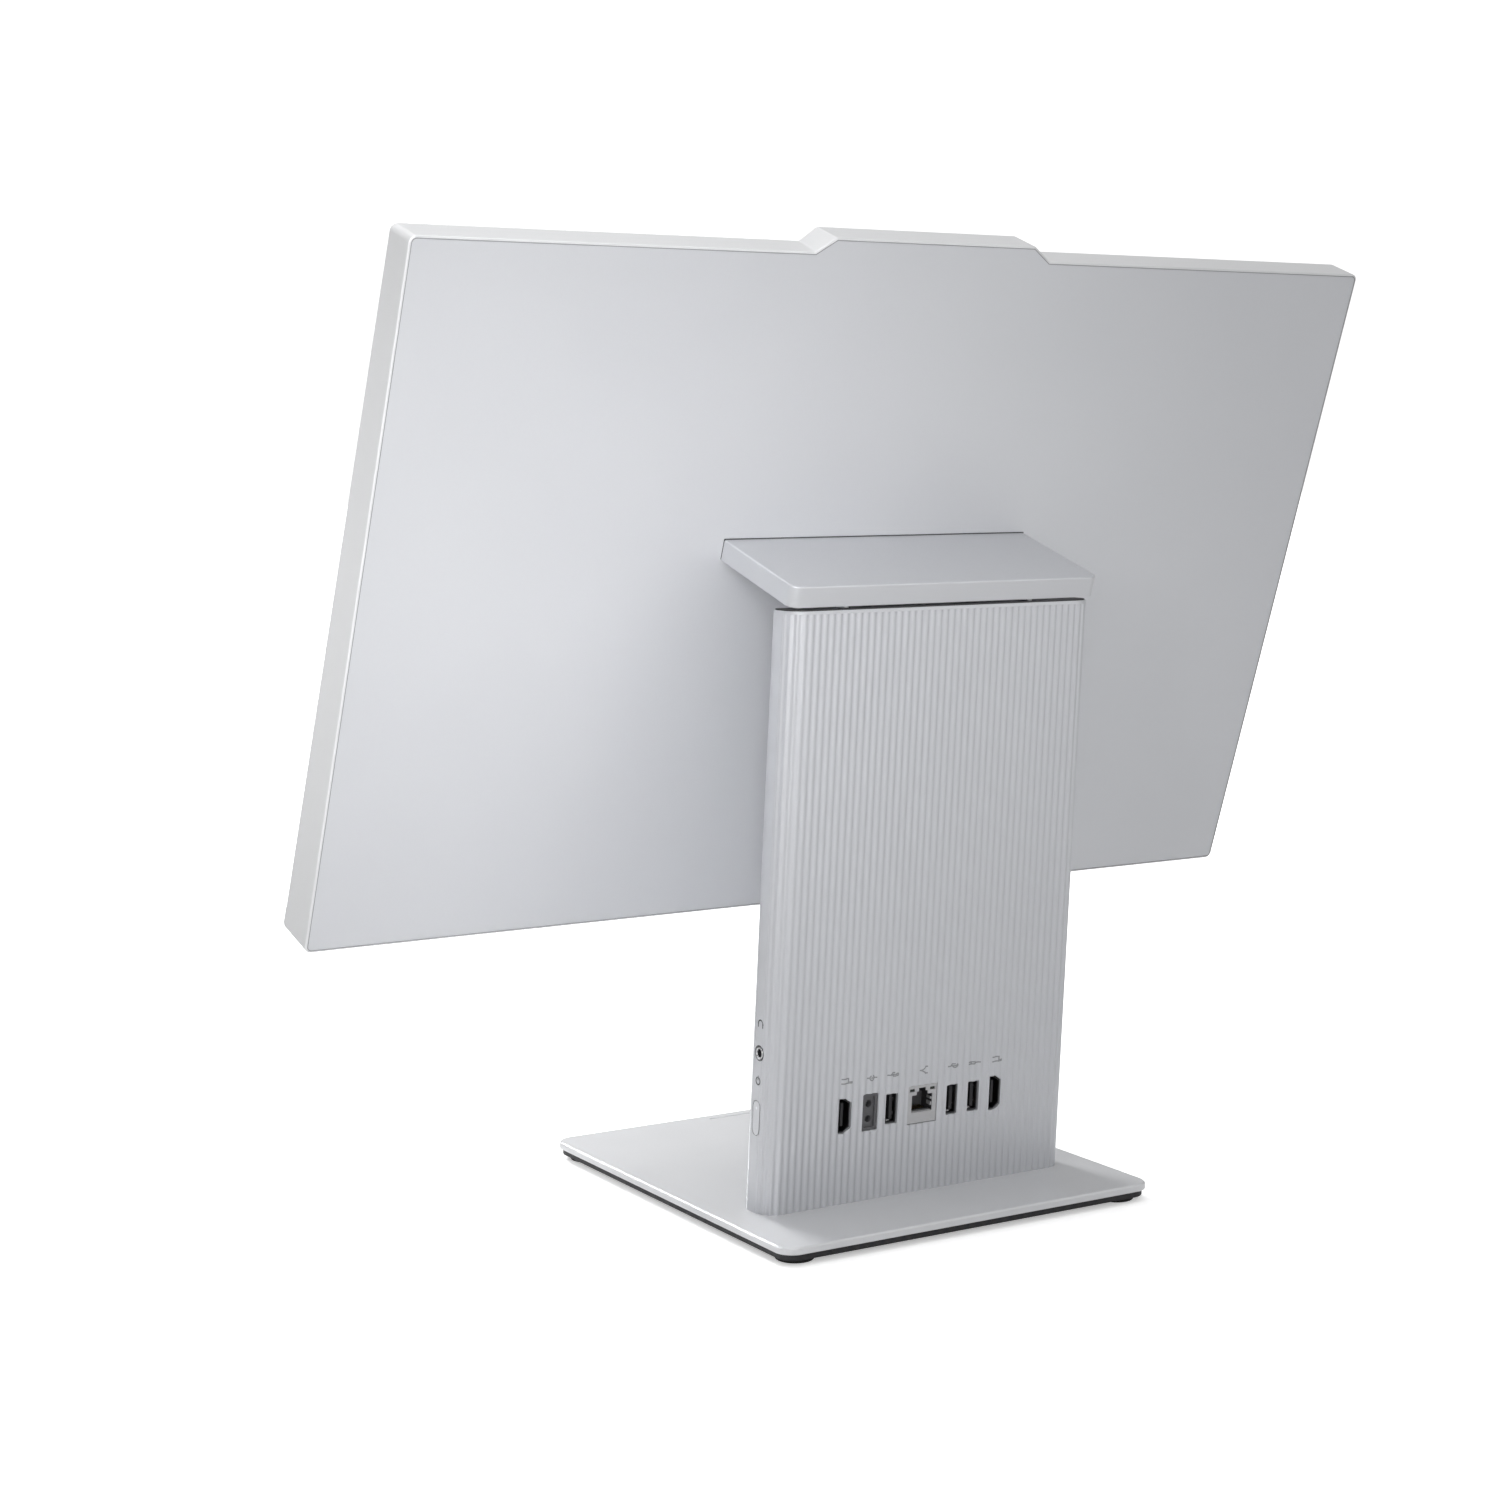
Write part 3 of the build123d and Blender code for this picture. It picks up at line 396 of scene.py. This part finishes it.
def paper_material(near, far):
    """White paper that glows to the camera only, so that it melts into the backdrop away from the object."""
    material = grained("floor_paper", (0.9, 0.9, 0.9), 0.8, 0, 200, 0.00001, 0.005)
    tree = material.node_tree
    place = tree.nodes.new("ShaderNodeTexCoord")
    length = tree.nodes.new("ShaderNodeVectorMath")
    length.operation = "LENGTH"
    tree.links.new(place.outputs["Object"], length.inputs[0])
    radius = length.outputs["Value"]
    spread = ramp_node(tree, radius, (near,) * 3, (far,) * 3, WHITENED_FROM, WHITENED_FULLY)
    glow = tree.nodes.new("ShaderNodeEmission")
    strength = math_node(tree, "MULTIPLY", spread.outputs["Color"], camera_ray(tree))
    tree.links.new(strength, glow.inputs["Strength"])
    both = tree.nodes.new("ShaderNodeAddShader")
    tree.links.new(tree.nodes["Principled BSDF"].outputs["BSDF"], both.inputs[0])
    tree.links.new(glow.outputs["Emission"], both.inputs[1])
    tree.links.new(both.outputs["Shader"], tree.nodes["Material Output"].inputs["Surface"])
    return material


def make_floor():
    """Large pale floor at the height of the feet."""
    mesh = bpy.data.meshes.new("floor")
    corners = [(x * FLOOR_HALF, y * FLOOR_HALF, 0) for x, y in ((-1, -1), (1, -1), (1, 1), (-1, 1))]
    mesh.from_pydata(corners, [], [(0, 1, 2, 3)])
    floor = bpy.data.objects.new("floor", mesh)
    bpy.context.scene.collection.objects.link(floor)
    mesh.materials.append(paper_material(near=0.42, far=1.0))


# Details


def add_block(shape, x, y, z, bevel):
    """Block with bevelled edges between the limits given for each axis."""
    made = bmesh.ops.create_cube(shape, size=1)["verts"]
    for vert in made:
        vert.co.x = x[0] + (vert.co.x + 0.5) * (x[1] - x[0])
        vert.co.y = y[0] + (vert.co.y + 0.5) * (y[1] - y[0])
        vert.co.z = z[0] + (vert.co.z + 0.5) * (z[1] - z[0])
    edges = list({edge for vert in made for edge in vert.link_edges})
    bmesh.ops.bevel(shape, geom=edges, offset=bevel, segments=2, profile=0.5, affect="EDGES")


def add_ring(shape, centre, profile, turn):
    """Closed profile of (distance along, radius) points, turned about the local X axis and then placed."""
    loops = []
    for step in range(RING_STEPS):
        angle = 2 * pi * step / RING_STEPS
        loop = []
        for along, radius in profile:
            point = Vector((along, radius * cos(angle), radius * sin(angle)))
            loop.append(shape.verts.new(turn @ point + Vector(centre)))
        loops.append(loop)
    count = len(profile)
    for step in range(RING_STEPS):
        here = loops[step]
        after = loops[(step + 1) % RING_STEPS]
        for side in range(count):
            other = (side + 1) % count
            shape.faces.new((here[side], here[other], after[other], after[side]))


def add_ribbon(shape, points, width, put, cut=STROKE_CUT):
    """Flat stroke through the points, cut into short lengths so that it can follow a fluted face."""
    for start, end in zip(points[:-1], points[1:]):
        begin = Vector(start)
        way = Vector(end) - begin
        length = way.length
        way.normalize()
        across = Vector((-way.y, way.x)) * width / 2
        begin -= way * width / 2
        length += width
        count = max(2, ceil(length / cut))
        left = []
        right = []
        for number in range(count + 1):
            at = begin + way * length * number / count
            left.append(shape.verts.new(put(at + across)))
            right.append(shape.verts.new(put(at - across)))
        for number in range(count):
            shape.faces.new((left[number], right[number], right[number + 1], left[number + 1]))


def finish_piece(shape, name, material, body, place, smooth=False):
    """Turns a shape in millimetres into a piece that rides on a body."""
    bmesh.ops.recalc_face_normals(shape, faces=shape.faces)
    shape.transform(Matrix.Scale(MM, 4))
    mesh = bpy.data.meshes.new(name)
    shape.to_mesh(mesh)
    shape.free()
    mesh.materials.append(material)
    if smooth:
        mesh.shade_smooth()
    piece = bpy.data.objects.new(name, mesh)
    piece.matrix_world = place
    bpy.context.scene.collection.objects.link(piece)
    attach(piece, body)
    return piece


def lay_on_skin(piece, axis):
    """Lays flat strokes on the column's skin as a thin layer: print, and painted shade lines."""
    wrap = piece.modifiers.new("follow_skin", "SHRINKWRAP")
    wrap.target = nodes["column_rear_skin"]
    wrap.wrap_method = "PROJECT"
    wrap.use_positive_direction = False
    wrap.use_negative_direction = True
    setattr(wrap, "use_project_" + axis, True)
    wrap.offset = LAYER_GAP * MM
    thick = piece.modifiers.new("ink_and_painted_shade", "SOLIDIFY")
    thick.thickness = LAYER_THICKNESS * MM
    thick.offset = 1


def arc(centre, radius, start, end, steps=14):
    """Points along a circular arc, angles in degrees."""
    points = []
    for step in range(steps + 1):
        angle = radians(start + (end - start) * step / steps)
        points.append((centre[0] + radius * cos(angle), centre[1] + radius * sin(angle)))
    return points


# Symbols: strokes through (across, up) points around the symbol's centre
MONITOR_ICON = (
    [(-2.4, 1.3), (1.2, 1.3), (1.2, -0.9), (-2.4, -0.9)],
    [(1.9, -0.8), (3.0, -0.8)],
    [(1.9, -0.3), (3.0, -0.3)],
)
POWER_ICON = (
    [(-2.2, 0), (-1.2, 0)],
    arc((0.3, 0), 1.2, 130, 410),
    [(0.0, 0), (0.6, 0)],
    [(1.9, 0), (2.8, 0)],
)
USB_ICON = (
    [(-3.0, 0), (1.9, 0)],
    [(-1.5, 0), (-0.5, 0.9), (0.8, 0.9)],
    [(-0.5, 0), (0.4, -0.8), (1.4, -0.8)],
    arc((2.3, 0), 0.5, 0, 360),
)
NETWORK_ICON = (
    [(1.4, 1.6), (-1.4, 0.0), (1.4, -1.6)],
    [(-2.0, 0.0), (-1.2, 0.0)],
    [(0.9, 1.6), (2.0, 1.6)],
    [(0.9, -1.6), (2.0, -1.6)],
)
FAST_ICON = (
    [(-3.2, 0.5), (-1.8, 0.5), (-1.8, -0.5), (-3.2, -0.5)],
    [(-1.2, 0.5), (0.2, 0.5), (0.2, -0.5), (-1.2, -0.5)],
    [(0.9, 0), (3.3, 0)],
)
HEADSET_ICON = (
    arc((0, 0), 1.9, 0, 180),
    [(-1.8, 0.2), (-1.8, -1.3)],
    [(1.8, 0.2), (1.8, -1.3)],
)
SWITCH_ICON = (
    arc((0, 0), 1.7, 120, 420),
    [(0, 0.6), (0, 2.2)],
)
REAR_ICONS = (
    (VIDEO_X[0], MONITOR_ICON),
    (POWER_INLET_X, POWER_ICON),
    (USB_X[0], USB_ICON),
    (NETWORK_X, NETWORK_ICON),
    (USB_X[1], USB_ICON),
    (USB_X[2], FAST_ICON),
    (VIDEO_X[1], MONITOR_ICON),
)


def make_icons_and_shade_lines():
    """Generic printed symbols above the ports and beside the controls, with dark lines of painted shade
    around the button and the socket.
    """
    ink_and_painted_shade = MATERIALS["grey_print_and_seam_shade"]
    shape = bmesh.new()
    for centre, strokes in REAR_ICONS:
        for stroke in strokes:
            add_ribbon(shape, stroke, ICON_STROKE, lambda p: (centre - p.x, LAYER_START, ICON_Z + p.y))
    lay_on_skin(finish_piece(shape, "port_icons", ink_and_painted_shade, "root", COLUMN), "y")
    shape = bmesh.new()
    start = SIDE_X + LAYER_START
    for stroke in HEADSET_ICON:
        add_ribbon(shape, stroke, HEADSET_STROKE, lambda p: (start, SIDE_Y + p.x, HEADSET_Z + p.y))
    for stroke in SWITCH_ICON:
        add_ribbon(shape, stroke, SWITCH_STROKE, lambda p: (start, SIDE_Y + p.x, SWITCH_Z + p.y))
    # Painted shade: dark lines in the gap around the button and around the socket
    straight = BUTTON_H / 2 - BUTTON_W / 2
    reach = BUTTON_W / 2 + BUTTON_GAP
    pill = arc((0, straight), reach, 0, 180) + arc((0, -straight), reach, 180, 360) + [(reach, straight)]
    add_ribbon(shape, pill, SHADE_LINE_STROKE, lambda p: (start, BUTTON_Y + p.x, BUTTON_Z + p.y))
    rim = arc((0, 0), JACK_SHADE_LINE, 0, 360, steps=24)
    add_ribbon(shape, rim, SHADE_LINE_STROKE, lambda p: (start, SIDE_Y + p.x, JACK_Z + p.y))
    dark = MATERIALS["dark_print_and_shade_lines"]
    lay_on_skin(finish_piece(shape, "side_icons_and_shade_lines", dark, "root", COLUMN), "x")


def around(centre, half):
    """Limits to either side of a centre."""
    return centre - half, centre + half


def moved(limits, by):
    """The same limits, counted from another place."""
    return by + limits[0], by + limits[1]


def make_usb_springs():
    """Leaf springs in the USB ports: two on one long side of each and one at each end."""
    springs = bmesh.new()
    for x in USB_X:
        for side in (-1, 1):
            z = around(PORT_Z + side * USB_SPRING_Z, USB_SPRING_HALF)
            add_block(springs, moved(USB_SPRING_X, x), USB_SPRING_Y, z, bevel=0.3)
        for side in (-1, 1):
            z = around(PORT_Z + side * USB_END_SPRING_Z, USB_END_SPRING_HALF)
            add_block(springs, around(x, USB_SPRING_HALF), USB_END_SPRING_Y, z, bevel=0.15)
    finish_piece(springs, "usb_springs", MATERIALS["port_steel"], "root", COLUMN)


def make_port_contacts():
    """Contacts on the tongues of the USB and video ports."""
    contacts = bmesh.new()
    for x in USB_X:
        for number in range(USB_CONTACTS):
            along = number * USB_CONTACT_SPAN / (USB_CONTACTS - 1)
            z = around(PORT_Z - USB_CONTACT_SPAN / 2 + along, USB_CONTACT_HALF)
            add_block(contacts, moved(USB_CONTACT_X, x), USB_CONTACT_Y, z, bevel=0.05)
    for x in VIDEO_X:
        for number in range(VIDEO_CONTACTS):
            z = around(PORT_Z + VIDEO_CONTACT_LOW + number, VIDEO_CONTACT_HALF)
            add_block(contacts, moved(VIDEO_CONTACT_X, x), VIDEO_CONTACT_Y, z, bevel=0.03)
    finish_piece(contacts, "port_contacts", MATERIALS["gold_contacts"], "root", COLUMN)


def make_network_details():
    """Tabs and a spring inside the network jack, and the windows of its lamps."""
    tabs = bmesh.new()
    for heights in TAB_HEIGHTS:
        add_block(tabs, moved(TAB_X, NETWORK_X), TAB_Y, moved(heights, PORT_Z), bevel=0.2)
    across = around(NETWORK_X, LOWER_SPRING_HALF)
    add_block(tabs, across, LOWER_SPRING_Y, moved(LOWER_SPRING_Z, PORT_Z), bevel=0.12)
    finish_piece(tabs, "network_tabs", MATERIALS["shield_steel"], "root", COLUMN)
    lamps = bmesh.new()
    for side in (-1, 1):
        across = around(NETWORK_X + side * LAMP_X, LAMP_HALF)
        add_block(lamps, across, LAMP_Y, moved(LAMP_Z, PORT_Z), bevel=0.15)
    finish_piece(lamps, "network_lamps", MATERIALS["lamp_window"], "root", COLUMN)


def make_hood_seam_shade():
    """Dark strip in the seam where the hinge cover meets the display, as painted shade."""
    seam_shade = bmesh.new()
    add_block(seam_shade, (-HOOD_SHADE_HALF, HOOD_SHADE_HALF), HOOD_SHADE_Y, HOOD_SHADE_TOP, bevel=0.05)
    for side in (-1, 1):
        edges = sorted((side * HOOD_SHADE_INNER, side * HOOD_SHADE_OUTER))
        add_block(seam_shade, edges, HOOD_SHADE_Y, (HOOD_SHADE_LOW, HOOD_SHADE_TOP[1]), bevel=0.05)
    # the painted shade in the seam takes the colour of the dark plastic
    finish_piece(seam_shade, "hood_seam_shade", MATERIALS["dark_plastic"], "display", DISPLAY_HINGE)


def make_cover_seam_shade():
    """Painted shadow: a thin grey line where the rear cover meets its frame, around the camera hump too."""
    side = COVER_X - COVER_CORNER
    low = COVER_LOW + COVER_CORNER
    high = COVER_HIGH - COVER_CORNER
    path = []
    for x, z, start in ((side, low, -90), (side, high, 0)):
        path += arc((x, z), COVER_CORNER, start, start + 90, CORNER_STEPS)
    hump = COVER_HIGH + HUMP_RISE
    path += [(HUMP_FOOT, COVER_HIGH), (HUMP_TOP, hump), (-HUMP_TOP, hump), (-HUMP_FOOT, COVER_HIGH)]
    for x, z, start in ((-side, high, 90), (-side, low, 180)):
        path += arc((x, z), COVER_CORNER, start, start + 90, CORNER_STEPS)
    path += [(side, COVER_LOW)]
    seam = bmesh.new()
    add_ribbon(seam, path, SEAM_WIDTH, lambda p: (p.x, SEAM_Y, p.y), SEAM_CUT)
    # the painted seam shadow takes the grey of the printed port symbols
    ink_and_painted_shade = MATERIALS["grey_print_and_seam_shade"]
    piece = finish_piece(seam, "cover_seam_shade", ink_and_painted_shade, "display", DISPLAY_HINGE)
    thick = piece.modifiers.new("depth", "SOLIDIFY")
    thick.thickness = SEAM_THICKNESS * MM
    thick.offset = 0


def make_rims():
    """Bright ring in the audio jack's mouth and a fine ring around the camera lens."""
    rim = bmesh.new()
    add_ring(rim, (SIDE_X - JACK_RIM_INSET, SIDE_Y, JACK_Z), JACK_RIM, Matrix.Identity(3))
    finish_piece(rim, "jack_rim", MATERIALS["port_steel"], "root", COLUMN, smooth=True)
    ring = bmesh.new()
    facing = Matrix.Rotation(-pi / 2, 3, "Z")
    add_ring(ring, (0, LENS_RING_Y, LENS_Z), LENS_RING, facing)
    finish_piece(ring, "lens_ring", MATERIALS["dark_plastic"], "display", SCREEN, smooth=True)


make_camera()
make_world(low=0.02, rise=0.88)
make_floor()
paint_nodes()
make_icons_and_shade_lines()
make_usb_springs()
make_port_contacts()
make_network_details()
make_hood_seam_shade()
make_cover_seam_shade()
make_rims()
area_light("overhead", at=(0.113, 0, 1.545), aim=LIT_POINT, size=1.0, power=4.7)
area_light("behind", at=(-0.235, 1.332, 0.612), aim=LIT_POINT, size=0.8, power=0.6)
area_light("cover_left", at=(0.9, 0.5, 0.5), aim=(0.24, -0.02, 0.3), size=0.4, power=0.3, spread=30)
area_light("cover_middle", at=(0.7, 0.9, 0.5), aim=(0.2, 0, 0.32), size=0.4, power=0.38, spread=30)
area_light("cover_top", at=(0.3, 1.2, 0.6), aim=(0.05, 0.03, 0.36), size=0.25, power=0.05, spread=30)
area_light("cover_right", at=(-0.6, 1.0, 0.4), aim=(-0.15, 0.03, 0.3), size=0.4, power=0.15, spread=50)
area_light("base_front", at=(0.1, -0.9, 0.6), aim=(0.05, 0.12, 0), size=0.3, power=0.6, spread=40)
bpy.context.scene.view_settings.view_transform = "Standard"
